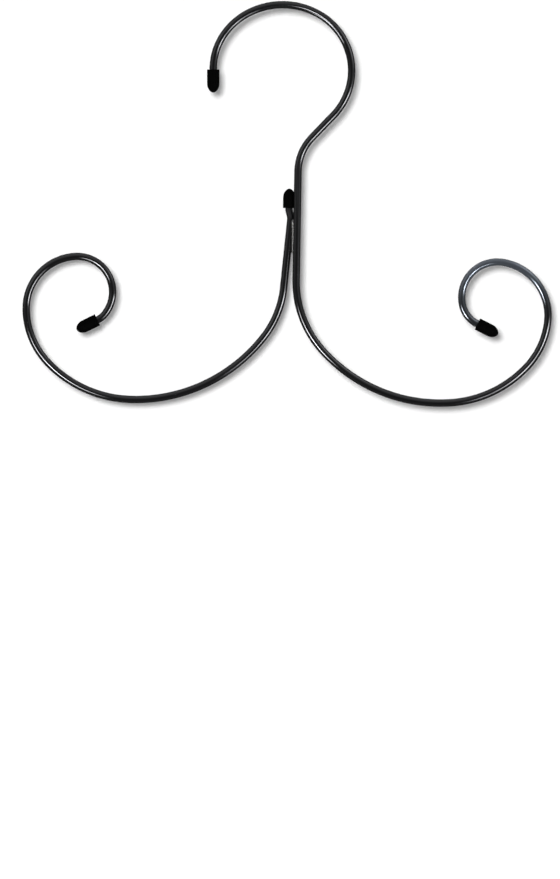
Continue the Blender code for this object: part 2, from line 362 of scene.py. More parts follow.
class NodeBench:
    """A node tree with short calls that add its nodes and join them."""

    def __init__(self, tree: bpy.types.NodeTree) -> None:
        """Take a node tree and clear it."""
        self.tree = tree
        self.tree.nodes.clear()

    def add(self, kind: str, **values: object) -> bpy.types.Node:
        """Add a node.

        Args:
            kind: The node's type name.
            values: Property values by name. A value for an input socket has the socket's name, with _ for
                a space, and a socket given instead of a number is joined to it.

        Returns:
            The new node.
        """
        node = self.tree.nodes.new(kind)
        for name, value in values.items():
            if hasattr(node, name):
                setattr(node, name, value)
        for name, value in values.items():
            socket = node.inputs.get(name.replace("_", " "))
            if socket is None or hasattr(type(node), name):
                continue
            if isinstance(value, bpy.types.NodeSocket):
                self.tree.links.new(value, socket)
            else:
                socket.default_value = value
        return node

    def math(self, operation: str, first: object, second: object = 0.0) -> bpy.types.NodeSocket:
        """Add a Math node.

        Args:
            operation: What it works out, by Blender's name.
            first: A number or a socket.
            second: Another, where the operation takes two.

        Returns:
            The result's socket.
        """
        node = self.tree.nodes.new("ShaderNodeMath")
        node.operation = operation
        for socket, value in zip(node.inputs, (first, second)):
            if isinstance(value, bpy.types.NodeSocket):
                self.tree.links.new(value, socket)
            else:
                socket.default_value = value
        return node.outputs[0]

    def spread(self, value: bpy.types.NodeSocket, source: tuple[float, float], target: tuple[float, float],
               smooth: bool = False) -> bpy.types.NodeSocket:
        """Map a value from one range to another, held at the ends.

        Args:
            value: The value's socket.
            source: Where the first range starts and ends.
            target: Where the second one starts and ends.
            smooth: Whether the way between the ends is eased.

        Returns:
            The mapped value's socket.
        """
        node = self.tree.nodes.new("ShaderNodeMapRange")
        node.interpolation_type = "SMOOTHSTEP" if smooth else "LINEAR"
        self.tree.links.new(value, node.inputs["Value"])
        for name, number in zip(("From Min", "From Max", "To Min", "To Max"), (*source, *target)):
            node.inputs[name].default_value = number
        return node.outputs["Result"]

    def toward(self, vector: bpy.types.NodeSocket, way: tuple[float, float, float]) -> bpy.types.NodeSocket:
        """Work out the cosine of the angle between two unit vectors.

        Args:
            vector: Socket of the first.
            way: The second, which is fixed.

        Returns:
            The cosine's socket.
        """
        node = self.add("ShaderNodeVectorMath", operation="DOT_PRODUCT")
        self.tree.links.new(vector, node.inputs[0])
        node.inputs[1].default_value = way
        return node.outputs["Value"]

    def place(self, stretch: tuple[float, float, float]) -> bpy.types.NodeSocket:
        """Read the piece's own measure, multiplied along each of its axes.

        Args:
            stretch: The three factors.

        Returns:
            Socket of the place in that measure.
        """
        measure = self.add("ShaderNodeAttribute", attribute_name=PLACE)
        mapping = self.add("ShaderNodeMapping", Scale=stretch)
        self.tree.links.new(measure.outputs["Vector"], mapping.inputs["Vector"])
        return mapping.outputs["Vector"]

    def noise(self, vector: bpy.types.NodeSocket, size: float, detail: float) -> bpy.types.NodeSocket:
        """Noise whose patches are about this size in metres, from about 0 to 1."""
        return self.add("ShaderNodeTexNoise", Vector=vector, Scale=1 / size, Detail=detail).outputs[0]

    def blend(self, share: bpy.types.NodeSocket, *colours: bpy.types.NodeSocket | tuple[float, ...]
              ) -> bpy.types.NodeSocket:
        """Mix two colours.

        Args:
            share: Socket of the second colour's share.
            colours: The two colours, each a socket or red, green and blue.

        Returns:
            The mixed colour's socket.
        """
        node = self.tree.nodes.new("ShaderNodeMix")
        node.data_type = "RGBA"
        self.tree.links.new(share, node.inputs["Factor"])
        inputs = [socket for socket in node.inputs if socket.type == "RGBA"]
        for socket, colour in zip(inputs, colours):
            if isinstance(colour, bpy.types.NodeSocket):
                self.tree.links.new(colour, socket)
            else:
                socket.default_value = (*colour, 1.0)
        return next(socket for socket in node.outputs if socket.type == "RGBA")

    def bump(self, height: bpy.types.NodeSocket, depth: float, under: bpy.types.NodeSocket | None = None
             ) -> bpy.types.NodeSocket:
        """Raise a surface.

        Args:
            height: Socket of the height, from 0 to 1.
            depth: How far a height of 1 raises the surface, in metres.
            under: Normal of an earlier bump on which this one lies, if there is one.

        Returns:
            Socket of the raised surface's normal.
        """
        node = self.add("ShaderNodeBump", Height=height, Distance=depth)
        if under is not None:
            self.tree.links.new(under, node.inputs["Normal"])
        return node.outputs["Normal"]


@dataclass(frozen=True)
class BlackWireFinish:
    """Black plating on drawn wire: a dark mirror with draw lines along it and a faint orange peel.

    Attributes:
        dark: Colour where the plating is thick.
        light: Colour where it is thin.
        metallic: Share of metal.
        edge: Tint of what it mirrors at a grazing angle, where the plating stays dark.
        roughness: Lowest and highest roughness.
        worn_range: Mix of draw lines and patches at which the roughness is lowest and highest.
        draw_line_share: Share of the draw lines in that mix.
        draw_line_width: Width of a draw line.
        draw_line_depth: Depth of a draw line.
        draw_line_stretch: How many times shorter the pattern counts along the wire.
        peel_size: Size of the orange peel's patches.
        peel_depth: Depth of the orange peel.
        cloud_size: Size of the patches of thick and thin plating.
        painted_reflection_colour: Paler blue-grey laid over the top of the right scroll: a painted
            reflection, a haze of reflected light put into the colour.
        painted_reflection_metallic: Share of metal under that painted reflection.
        painted_reflection_mottling: Factors on the painted reflection where the plating is thick and where
            it is thin.
        painted_reflection_middle: Middle of the painted reflection.
        painted_reflection_reach: Distances from it at which the painted reflection starts to weaken and
            ends.
    """

    dark: tuple[float, float, float] = (0.027, 0.027, 0.028)
    light: tuple[float, float, float] = (0.033, 0.033, 0.035)
    metallic: float = 0.85
    edge: float = 0.12
    roughness: tuple[float, float] = (0.06, 0.12)
    worn_range: tuple[float, float] = (0.35, 0.65)
    draw_line_share: float = 0.6
    draw_line_width: float = 0.00016
    draw_line_depth: float = 1.2e-6
    draw_line_stretch: float = 0.02
    peel_size: float = 0.0014
    peel_depth: float = 5.0e-6
    cloud_size: float = 0.012
    # Painted reflection over the top of the right scroll: its colour, metal share, mottling, middle and
    # reach.
    painted_reflection_colour: tuple[float, float, float] = (0.077, 0.087, 0.103)
    painted_reflection_metallic: float = 0.40
    painted_reflection_mottling: tuple[float, float] = (0.9, 1.1)
    painted_reflection_middle: tuple[float, float, float] = (0.1205, 0.0, -0.1500)
    painted_reflection_reach: tuple[float, float] = (0.0140, 0.0345)

    def material(self) -> bpy.types.Material:
        """Build the finish.

        The roughness follows a mix of draw lines and patches. A painted reflection, paler and less
        metallic, falls with the distance from its middle, and the patches mottle it.

        Returns:
            A material whose colour and roughness follow noise along the wire, with two bumps, one over
            the other.
        """
        material = bpy.data.materials.new("black_wire")
        material.use_nodes = True
        bench = NodeBench(material.node_tree)
        plain = bench.place((1.0, 1.0, 1.0))
        drawn = bench.place((1.0, 1.0, self.draw_line_stretch))
        lines = bench.noise(drawn, self.draw_line_width, detail=2.0)
        peel = bench.noise(plain, self.peel_size, detail=1.0)
        cloud = bench.noise(plain, self.cloud_size, detail=3.0)
        line_part = bench.math("MULTIPLY", lines, self.draw_line_share)
        worn = bench.math("ADD", line_part, bench.math("MULTIPLY", cloud, 1 - self.draw_line_share))
        rough = bench.spread(worn, self.worn_range, self.roughness)
        normal = bench.bump(lines, self.draw_line_depth, bench.bump(peel, self.peel_depth))
        # Painted reflection: a paler, less metallic patch over the top of the right scroll that stands in
        # for reflected light.
        spot = bench.add("ShaderNodeVectorMath", operation="DISTANCE")
        bench.tree.links.new(bench.add("ShaderNodeTexCoord").outputs["Object"], spot.inputs[0])
        spot.inputs[1].default_value = self.painted_reflection_middle
        near = bench.spread(spot.outputs["Value"], self.painted_reflection_reach, (1.0, 0.0), smooth=True)
        painted_reflection = bench.math("MULTIPLY", near, bench.spread(cloud, NOISE_RANGE, self.painted_reflection_mottling))
        shader = bench.add(
            "ShaderNodeBsdfPrincipled",
            Base_Color=bench.blend(painted_reflection, bench.blend(cloud, self.dark, self.light), self.painted_reflection_colour),
            Metallic=bench.spread(painted_reflection, (0.0, 1.0), (self.metallic, self.painted_reflection_metallic)),
            Roughness=rough,
            Specular_Tint=(self.edge, self.edge, self.edge, 1.0),
            Normal=normal,
        )
        bench.add("ShaderNodeOutputMaterial", Surface=shader.outputs[0])
        return material


@dataclass(frozen=True)
class WeldFinish:
    """Weld metal under the same black plating: duller than the wire, with dark pits and paler ripples.

    Attributes:
        dark: Colour in the pits.
        light: Colour on the ripples.
        metallic: Share of metal.
        roughness: Lowest and highest roughness.
        pit_size: Size of the pits.
        pit_depth: Depth of the pits.
        grain_size: Size of the fine grain.
        grain_depth: Depth of the grain.
    """

    dark: tuple[float, float, float] = (0.020, 0.020, 0.020)
    light: tuple[float, float, float] = (0.130, 0.128, 0.126)
    metallic: float = 0.70
    roughness: tuple[float, float] = (0.18, 0.38)
    pit_size: float = 0.0007
    pit_depth: float = 4.0e-5
    grain_size: float = 0.00018
    grain_depth: float = 8.0e-6

    def material(self) -> bpy.types.Material:
        """Build the finish.

        Returns:
            A material whose colour and roughness follow the pits, with grain over the pits as bumps.
        """
        material = bpy.data.materials.new("black_weld")
        material.use_nodes = True
        bench = NodeBench(material.node_tree)
        place = bench.place((1.0, 1.0, 1.0))
        pits = bench.noise(place, self.pit_size, detail=3.0)
        grain = bench.noise(place, self.grain_size, detail=2.0)
        shader = bench.add(
            "ShaderNodeBsdfPrincipled",
            Base_Color=bench.blend(pits, self.dark, self.light),
            Metallic=self.metallic,
            Roughness=bench.spread(grain, NOISE_RANGE, self.roughness),
            Normal=bench.bump(grain, self.grain_depth, bench.bump(pits, self.pit_depth)),
        )
        bench.add("ShaderNodeOutputMaterial", Surface=shader.outputs[0])
        return material


@dataclass(frozen=True)
class VinylFinish:
    """Soft black vinyl with almost no sheen: a fine dull skin and slow lumps from its dipping.

    Attributes:
        dark: Colour of the vinyl.
        light: Colour where its skin is scuffed.
        specular: Specular level, well under plastic's because the skin is so dull.
        roughness: Lowest and highest roughness.
        skin_size: Size of the skin's grain.
        skin_depth: Depth of the grain.
        lump_size: Size of the slow lumps.
        lump_depth: Depth of the lumps.
    """

    dark: tuple[float, float, float] = (0.0006, 0.0006, 0.0006)
    light: tuple[float, float, float] = (0.0014, 0.0014, 0.0014)
    specular: float = 0.005
    roughness: tuple[float, float] = (0.60, 0.78)
    skin_size: float = 0.00025
    skin_depth: float = 1.0e-5
    lump_size: float = 0.0030
    lump_depth: float = 4.0e-5

    def material(self) -> bpy.types.Material:
        """Build the finish.

        Returns:
            A material whose colour and roughness follow the grain, with grain over lumps as bumps.
        """
        material = bpy.data.materials.new("black_vinyl")
        material.use_nodes = True
        bench = NodeBench(material.node_tree)
        place = bench.place((1.0, 1.0, 1.0))
        skin = bench.noise(place, self.skin_size, detail=3.0)
        lumps = bench.noise(place, self.lump_size, detail=1.0)
        shader = bench.add(
            "ShaderNodeBsdfPrincipled",
            Base_Color=bench.blend(skin, self.dark, self.light),
            Roughness=bench.spread(skin, NOISE_RANGE, self.roughness),
            Normal=bench.bump(skin, self.skin_depth, bench.bump(lumps, self.lump_depth)),
        )
        shader.inputs["Specular IOR Level"].default_value = self.specular
        bench.add("ShaderNodeOutputMaterial", Surface=shader.outputs[0])
        return material


def set_piece(name: str, mesh: bpy.types.Mesh, finish: bpy.types.Material, body: Body, node: str
              ) -> bpy.types.Object:
    """Put a finished mesh into the scene in place of a node, and report it.

    Args:
        name: Name of the piece.
        mesh: Its mesh, already where it belongs.
        finish: Its material.
        body: The body that it moves with.
        node: The node that it stands for.

    Returns:
        The new object.
    """
    piece = bpy.data.objects.new(name, mesh)
    mesh.materials.append(finish)
    bpy.context.scene.collection.objects.link(piece)
    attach(piece, body.value)
    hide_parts(node)
    corners = np.array([list(corner) for corner in piece.bound_box])
    low, high = (np.array(corner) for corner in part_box(node))
    off = max(np.abs(corners.min(0) - low).max(), np.abs(corners.max(0) - high).max())
    mesh.calc_loop_triangles()
    log.info(
        "%s: %d triangles, on %s, box within %.2f mm of node %s",
        name, len(mesh.loop_triangles), body.value, off * MILLIMETRES_PER_METRE, node,
    )
    return piece


@dataclass
class LongWire:
    """The long wire: hook, neck, right arm and right scroll, bent from one length.

    Attributes:
        stock: The wire that it is bent from.
        tip: The tip on each of its two ends.
        hook_front: Bends from the hook's crown to the stub of its tip.
        hook_back: Steps from the crown round the back to the top of the neck.
        arm: Steps from the top of the neck to the stub of the scroll's tip.
        hook_seat: Where the hook's tip sits, once the wire is laid.
        scroll_seat: Where the scroll's tip sits, once the wire is laid.
        neck_top: The centreline's point at the top of the neck.
        neck_heading: Direction down the neck, in radians.
    """

    stock: Stock
    tip: "PushOnTip"
    hook_front: tuple[Run | Bend, ...] = (Bend(0.0410, 27.0), Bend(0.0370, 26.0), Bend(0.0335, 37.0))
    hook_back: tuple[Run | Bend, ...] = (
        Bend(0.0405, -30.0),
        Bend(0.0355, -104.0),
        Run(0.0170),
        Bend(0.0275, 43.0),
    )
    arm: tuple[Run | Bend, ...] = (
        Run(0.0595),
        Bend(0.0570, 43.0),
        Bend(0.0870, 52.0),
        Bend(0.0630, 43.0),
        Bend(0.0430, 38.0),
        Bend(0.0295, 86.0),
        Bend(0.0195, 113.0),
        Bend(0.0150, 49.0),
    )
    hook_seat: Seat | None = field(default=None, init=False)
    scroll_seat: Seat | None = field(default=None, init=False)
    neck_top: np.ndarray | None = field(default=None, init=False)
    neck_heading: float = field(default=0.0, init=False)

    def centreline(self) -> np.ndarray:
        """Lay the wire from its crown both ways, and join the front half, turned round, to the back half.

        Returns:
            The centreline from the hook's cut end to the scroll's.
        """
        crown = np.array([0.0, 0.0, self.stock.radius])
        front = Route.begin(crown, 180.0, self.stock.spacing).follow(*self.hook_front)
        self.hook_seat = self.stock.end_in_tip(front, self.tip)
        back = Route.begin(crown, 0.0, self.stock.spacing).follow(*self.hook_back)
        self.neck_top = back.end().copy()
        self.neck_heading = back.heading
        back.follow(*self.arm)
        self.scroll_seat = self.stock.end_in_tip(back, self.tip)
        return np.concatenate([front.points[::-1], back.points[1:]])

    def build(self, finish: bpy.types.Material) -> bpy.types.Object:
        """Make the wire and dress it.

        Args:
            finish: The wire's material.

        Returns:
            The wire's object.
        """
        mesh = self.stock.skin(self.centreline()).mesh("long_wire", self.stock.sharp_angle)
        return set_piece("long_wire", mesh, finish, Body.HANGER, "hook_and_right_arm_wire")


@dataclass
class Neck:
    """The neck's axis, from which the weld and the short wire are placed.

    Attributes:
        top: Top of the neck on its centreline.
        heading: Direction down the neck, in radians.
        tuck: How far behind the neck the short wire lies, as an angle from the hanger's plane, in
            degrees.
        down: Unit vector down the neck.
        aside: Unit vector from the neck to the short wire.
        front: Unit vector out of the groove between the wires, at the front.
    """

    top: np.ndarray
    heading: float
    tuck: float = 38.0
    down: np.ndarray = field(init=False)
    aside: np.ndarray = field(init=False)
    front: np.ndarray = field(init=False)

    def __post_init__(self) -> None:
        """Work out the three directions from the heading and the tuck."""
        self.down = np.array([math.cos(self.heading), 0.0, math.sin(self.heading)])
        left = np.array([math.sin(self.heading), 0.0, -math.cos(self.heading)])
        left *= -np.sign(left[0])
        tuck = math.radians(self.tuck)
        self.aside = left * math.cos(tuck) + BACK * math.sin(tuck)
        self.front = left * math.sin(tuck) - BACK * math.cos(tuck)

    def beside(self, drop: np.ndarray | float, spacing: np.ndarray | float) -> np.ndarray:
        """Points below the neck's top by a drop, and away from it by a spacing towards the short wire."""
        drops, spacings = np.broadcast_arrays(drop, spacing)
        return self.top + drops[..., None] * self.down + spacings[..., None] * self.aside


@dataclass
class ShortWire:
    """The short wire: tail beside the neck, left arm and left scroll, bent from one length.

    Attributes:
        stock: The wire that it is bent from.
        neck: The neck that it is welded to.
        tip: The tip on the scroll.
        tail_tip: The tip on the tail, for which the tail steps away from the neck.
        weld_drop: Distance below the neck's top where the wires touch.
        joggle_length: Length in which the tail steps away above that place.
        arm: Steps from the weld to the stub of the scroll's tip.
        scroll_seat: Where the scroll's tip sits, once the wire is laid.
        tail_seat: Where the tail's tip sits, once the wire is laid.
    """

    stock: Stock
    neck: Neck
    tip: "PushOnTip"
    tail_tip: "PushOnTip"
    weld_drop: float = 0.0260
    joggle_length: float = 0.0055
    arm: tuple[Run | Bend, ...] = (
        Bend(0.0250, -5.0),
        Run(0.0361),
        Bend(0.0529, -32.0),
        Bend(0.0895, -54.0),
        Bend(0.0655, -44.0),
        Bend(0.0435, -44.0),
        Bend(0.0285, -87.0),
        Bend(0.0195, -132.0),
        Bend(0.0110, -25.0),
    )
    scroll_seat: Seat | None = field(default=None, init=False)
    tail_seat: Seat | None = field(default=None, init=False)

    def weld_spacing(self) -> float:
        """Distance between the two centrelines at the weld."""
        return 2 * self.stock.radius + self.stock.seat_gap

    def tail_spacing(self) -> float:
        """Distance of the tail from the neck's centreline, which leaves room for its tip."""
        return self.tail_tip.radius + self.stock.seat_gap + self.stock.radius

    def tail(self) -> np.ndarray:
        """Lay the tail from the weld up: its spacing from the neck eases from the weld's to the tail's.

        Returns:
            The tail's points from the weld to its cut end.
        """
        joggle_count = math.ceil(self.joggle_length / self.stock.spacing)
        shares = np.arange(joggle_count + 1) / joggle_count
        spacing = self.weld_spacing() + (self.tail_spacing() - self.weld_spacing()) * smooth_step(shares)
        joggle = self.neck.beside(self.weld_drop - self.joggle_length * shares, spacing)
        mouth = joggle[-1] - self.neck.down * self.stock.seat_gap
        self.tail_seat = Seat(mouth.copy(), -self.neck.down)
        grip = self.stock.grip(self.tail_tip)
        grip_count = math.ceil(grip / self.stock.spacing)
        to_chamfer = grip - self.stock.end_chamfer
        reach = np.concatenate([np.arange(grip_count) / grip_count * to_chamfer, [to_chamfer, grip]])
        stub = mouth - self.neck.down * reach[:, None]
        return np.concatenate([joggle, stub])

    def centreline(self) -> np.ndarray:
        """Join the tail, turned round, to the arm below the weld.

        Returns:
            The centreline from the tail's cut end to the scroll's.
        """
        start = self.neck.beside(self.weld_drop, self.weld_spacing())
        arm = Route.begin(start, math.degrees(self.neck.heading), self.stock.spacing).follow(*self.arm)
        self.scroll_seat = self.stock.end_in_tip(arm, self.tip)
        return np.concatenate([self.tail()[::-1], arm.points[1:]])

    def build(self, finish: bpy.types.Material) -> bpy.types.Object:
        """Make the wire and dress it.

        Args:
            finish: The wire's material.

        Returns:
            The wire's object.
        """
        mesh = self.stock.skin(self.centreline()).mesh("short_wire", self.stock.sharp_angle)
        return set_piece("short_wire", mesh, finish, Body.HANGER, "left_arm_wire")


@dataclass(frozen=True)
class WeldBead:
    """A weld bead in a groove between the two wires: a rippled, lumpy run that is fused to both.

    Attributes:
        name: Name of the piece.
        node: The node that it stands for.
        drop: Distance of its middle below the neck's top.
        length: How long it is.
        half_width: Distance from its middle line to each toe.
        groove: Radius round each centreline that sets the groove's floor.
        root: Height of its middle line over the floor.
        throat: Height of its crown over that line at the top.
        low_throat: The same at the bottom, where the wires part.
        depth: How far it goes down into the groove.
        ripple_pitch: Distance between ripples.
        ripple_height: Height of a ripple, as a share of the crown's.
        ripple_sweep: How far a ripple's ends trail behind its middle.
        lump_pitches: Lengths of the slow swells along it.
        lump_height: Height of each swell, as a share of the crown's.
        lump_width: Share of that by which a swell widens it.
        end_sink: Share of its middle line's height by which its ends sink.
        phase: Where the first swell starts, in radians.
        stations: Rings along it.
        sides: Points round each ring.
        sharp_angle: Edges that turn by more than this many degrees are creased.
    """

    name: str
    node: str
    drop: float = 0.0357
    length: float = 0.0188
    half_width: float = 0.00135
    groove: float = 0.0024
    root: float = 0.0001
    throat: float = 0.00115
    low_throat: float = 0.0006
    depth: float = 0.0008
    ripple_pitch: float = 0.00095
    ripple_height: float = 0.10
    ripple_sweep: float = 0.00045
    lump_pitches: tuple[float, ...] = (0.0043, 0.0027)
    lump_height: float = 0.09
    lump_width: float = 0.5
    end_sink: float = 0.25
    phase: float = 0.6
    stations: int = 301
    sides: int = 40
    sharp_angle: float = 80.0

    def shares(self) -> np.ndarray:
        """Where the rings lie, from -1 at the top end to 1 at the bottom end, both ends left out."""
        return np.linspace(-1.0, 1.0, self.stations + 2)[1:-1]

    def drops(self) -> np.ndarray:
        """How far the rings lie below the neck's top."""
        return self.drop + self.shares() * self.length / 2

    def skin(self, neck: Neck, spacing: np.ndarray, facing: np.ndarray) -> Loft:
        """Work out the bead's skin.

        Across the groove a ring is an ellipse: its points lie at the half width times the cosine of the
        turn, and above the root at the crown's height times the sine, or below it at the depth times the
        sine. Both shrink towards the ends as the square root of one less the fourth power of the way from
        the middle. The groove's floor lies where circles round the two centrelines meet, or in their
        plane once they part. The crown's height eases from the upper to the lower throat, swells as sines
        of the way along, and ripples as the fourth power of a cosine whose phase trails towards the toes.

        Args:
            neck: The neck beside which it lies.
            spacing: Distance between the two centrelines at each station.
            facing: Unit vector out of the groove.

        Returns:
            The bead's closed skin.
        """
        share = self.shares()
        way = share[:, None] * self.length / 2
        turn = around(self.sides)[None]
        across = self.half_width * np.cos(turn)
        taper = np.sqrt(1 - share**4)[:, None]
        swell = sum(np.sin(2 * math.pi * way / pitch + self.phase * (1 + order))
                    for order, pitch in enumerate(self.lump_pitches))
        trail = way + self.ripple_sweep * np.cos(turn) ** 2
        ripple = np.cos(math.pi * trail / self.ripple_pitch) ** 4
        throat = self.throat + (self.low_throat - self.throat) * smooth_step((share + 1) / 2)
        crown = throat[:, None] * (1 + self.lump_height * swell + self.ripple_height * ripple)
        rise = np.where(np.sin(turn) > 0, crown * np.sin(turn), self.depth * np.sin(turn))
        wide = across * taper * (1 + self.lump_width * self.lump_height * swell)
        line = self.root + np.sqrt(np.maximum(self.groove**2 - (spacing / 2) ** 2, 0.0))
        out = line[:, None] * (1 - self.end_sink + self.end_sink * taper) + rise * taper
        centres = neck.beside(self.drops(), spacing / 2)
        rings = centres[:, None] + wide[..., None] * neck.aside + out[..., None] * facing
        long = np.broadcast_to(way, wide.shape)
        places = np.stack([wide, out, long], axis=-1)
        ends = np.array([-1.0, 1.0]) * self.length / 2
        low = line[[0, -1]] * (1 - self.end_sink)
        poles = neck.beside(self.drop + ends, spacing[[0, -1]] / 2) + low[:, None] * facing
        return Loft(rings, places, poles, np.stack([0 * ends, low, ends], axis=-1))

    def build(self, neck: Neck, spacing: np.ndarray, facing: np.ndarray, finish: bpy.types.Material
              ) -> bpy.types.Object:
        """Make the bead and dress it.

        Args:
            neck: The neck beside which it lies.
            spacing: Distance between the two centrelines at each station.
            facing: Unit vector out of the groove.
            finish: The weld's material.

        Returns:
            The bead's object.
        """
        loft = self.skin(neck, spacing, facing)
        if np.dot(np.cross(neck.aside, facing), neck.down) < 0:
            loft = Loft(loft.rings[:, ::-1], loft.places[:, ::-1], loft.poles, loft.pole_places)
        mesh = loft.mesh(self.name, self.sharp_angle)
        return set_piece(self.name, mesh, finish, Body.HANGER, self.node)


@dataclass(frozen=True)
class PushOnTip:
    """A dipped vinyl tip with a blind bore, a straight barrel and a bullet nose.

    Attributes:
        length: From its mouth to the end of its nose.
        radius: Outer radius of its barrel.
        nose_length: Length of its nose.
        end_wall: Thickness beyond the bore.
        bore_radius: Radius of the bore.
        mouth_radius: Radius of the mouth, which hugs the wire.
        mouth_length: Length in which the bore narrows to the mouth.
        rim_round: Rounding of the mouth's outer rim.
        belly: How much the barrel swells at its middle.
        nose_power: How full the nose is: 2 is an ellipse, and more is blunter.
        floor_rings: Rings on the end of the bore.
        bore_rings: Rings down its straight wall.
        mouth_rings: Rings in which it narrows to the mouth.
        rim_rings: Rings round the mouth's rim.
        barrel_rings: Rings up the barrel.
        nose_rings: Rings on the nose.
        sides: Points round it.
        sharp_angle: Edges that turn by more than this many degrees are creased.
    """

    length: float = 0.0127
    radius: float = 0.0034
    nose_length: float = 0.0047
    end_wall: float = 0.0030
    bore_radius: float = 0.0024
    mouth_radius: float = 0.00214
    mouth_length: float = 0.0016
    rim_round: float = 0.00018
    belly: float = 0.00003
    nose_power: float = 1.85
    floor_rings: int = 4
    bore_rings: int = 12
    mouth_rings: int = 7
    rim_rings: int = 5
    barrel_rings: int = 16
    nose_rings: int = 20
    sides: int = 64
    sharp_angle: float = 50.0

    def profile(self) -> np.ndarray:
        """Outline of the wall, as radius and height, from the bore's end to the mouth and up to the nose.

        The bore eases to the mouth's radius. The rim is a quarter circle. The barrel swells as a sine of
        the height. The nose's radius is that of a superellipse at the angle on the way to its end.

        Returns:
            The points without the two on the axis.
        """
        bore_end = self.length - self.end_wall
        barrel = self.length - self.nose_length
        floor_radii = np.arange(1, self.floor_rings + 1) / self.floor_rings * self.bore_radius
        floor = np.stack([floor_radii, np.full(self.floor_rings, bore_end)], axis=-1)
        down = np.linspace(1.0, 0.0, self.bore_rings + 2)[1:-1]
        heights = np.append(self.mouth_length + (bore_end - self.mouth_length) * down,
                            np.linspace(1.0, 0.0, self.mouth_rings) * self.mouth_length)
        eased = smooth_step(heights / self.mouth_length)
        widening = (self.bore_radius - self.mouth_radius) * eased
        bore = np.stack([self.mouth_radius + widening, heights], axis=-1)
        turn = np.linspace(0.0, math.pi / 2, self.rim_rings)
        rim_radii = self.radius - self.rim_round * (1 - np.sin(turn))
        rim = np.stack([rim_radii, self.rim_round * (1 - np.cos(turn))], axis=-1)
        rise = np.linspace(self.rim_round, barrel, self.barrel_rings + 1)[1:]
        swell = self.belly * np.sin(math.pi * (rise - self.rim_round) / (barrel - self.rim_round))
        wall = np.stack([self.radius + swell, rise], axis=-1)
        angle = np.linspace(0.0, math.pi / 2, self.nose_rings + 2)[1:-1]
        power = 2 / self.nose_power
        nose_radii = self.radius * np.cos(angle) ** power
        nose = np.stack([nose_radii, barrel + self.nose_length * np.sin(angle) ** power], axis=-1)
        return np.concatenate([floor, bore, rim, wall, nose])

    def skin(self, seat: Seat) -> Loft:
        """Turn the outline round the seat's axis.

        A point lies at its height along the axis, and at its radius times the cosine and the sine of the
        turn along two directions square to it.

        Args:
            seat: Where the tip sits.

        Returns:
            The tip's closed skin.
        """
        outline = self.profile()
        turn = around(self.sides)
        first = unit(BACK - (BACK @ seat.outward) * seat.outward)
        second = np.cross(seat.outward, first)
        wide = outline[:, :1] * np.cos(turn)
        deep = outline[:, :1] * np.sin(turn)
        high = np.broadcast_to(outline[:, 1:], wide.shape)
        places = np.stack([wide, deep, high], axis=-1)
        axes = np.stack([first, second, seat.outward])
        ends = np.array([[0.0, 0.0, self.length - self.end_wall], [0.0, 0.0, self.length]])
        return Loft(seat.mouth + places @ axes, places, seat.mouth + ends @ axes, ends)

    def build(self, name: str, node: str, body: Body, seat: Seat, finish: bpy.types.Material
              ) -> bpy.types.Object:
        """Make the tip and dress it.

        Args:
            name: Name of the piece.
            node: The node that it stands for.
            body: The body that it moves with.
            seat: Where it sits.
            finish: The tips' material.

        Returns:
            The tip's object.
        """
        mesh = self.skin(seat).mesh(name, self.sharp_angle)
        return set_piece(name, mesh, finish, body, node)


@dataclass(frozen=True)
class Softbox:
    """A round studio lamp that shows only as a line of light in the gloss.

    Attributes:
        name: Name of the lamp.
        place: Where it stands.
        radiance: Brightness of its middle.
        spread: Angle from its middle to its rim, seen from what it faces, in degrees.
        facing: The point that it faces, or None for the hanger's middle.
    """

    name: str
    place: tuple[float, float, float]
    radiance: float
    spread: float
    facing: tuple[float, float, float] | None = None

    def light(self, middle: Vector) -> bpy.types.Object:
        """Set the lamp up.

        Its light falls from its middle to nothing at its rim. Its power is its radiance times pi times
        its area.

        Args:
            middle: The hanger's middle.

        Returns:
            The lamp's object.
        """
        stand = Vector(self.place)
        target = Vector(self.facing) if self.facing else middle
        reach = (stand - target).length * math.tan(math.radians(self.spread))
        lamp = bpy.data.lights.new(self.name, "AREA")
        lamp.shape = "DISK"
        lamp.size = 2 * reach
        lamp.energy = self.radiance * math.pi * math.pi * reach**2
        lamp.use_nodes = True
        bench = NodeBench(lamp.node_tree)
        face = bench.add("ShaderNodeNewGeometry")
        # Parametric coordinates run from 0 to 1 across the lamp, so its rim is half of one from its middle.
        half = 0.5
        centred = bench.add("ShaderNodeVectorMath", operation="SUBTRACT")
        bench.tree.links.new(face.outputs["Parametric"], centred.inputs[0])
        centred.inputs[1].default_value = (half, half, 0.0)
        length = bench.add("ShaderNodeVectorMath", operation="LENGTH")
        bench.tree.links.new(centred.outputs[0], length.inputs[0])
        fall = bench.spread(length.outputs["Value"], (0.0, half), (1.0, 0.0), smooth=True)
        glow = bench.add("ShaderNodeEmission", Strength=fall)
        bench.add("ShaderNodeOutputLight", Surface=glow.outputs[0])
        thing = bpy.data.objects.new(self.name, lamp)
        thing.location = stand
        thing.rotation_mode = "QUATERNION"
        thing.rotation_quaternion = (target - stand).to_track_quat("-Z", "Y")
        thing.visible_camera = False
        thing.visible_diffuse = False
        bpy.context.scene.collection.objects.link(thing)
        return thing


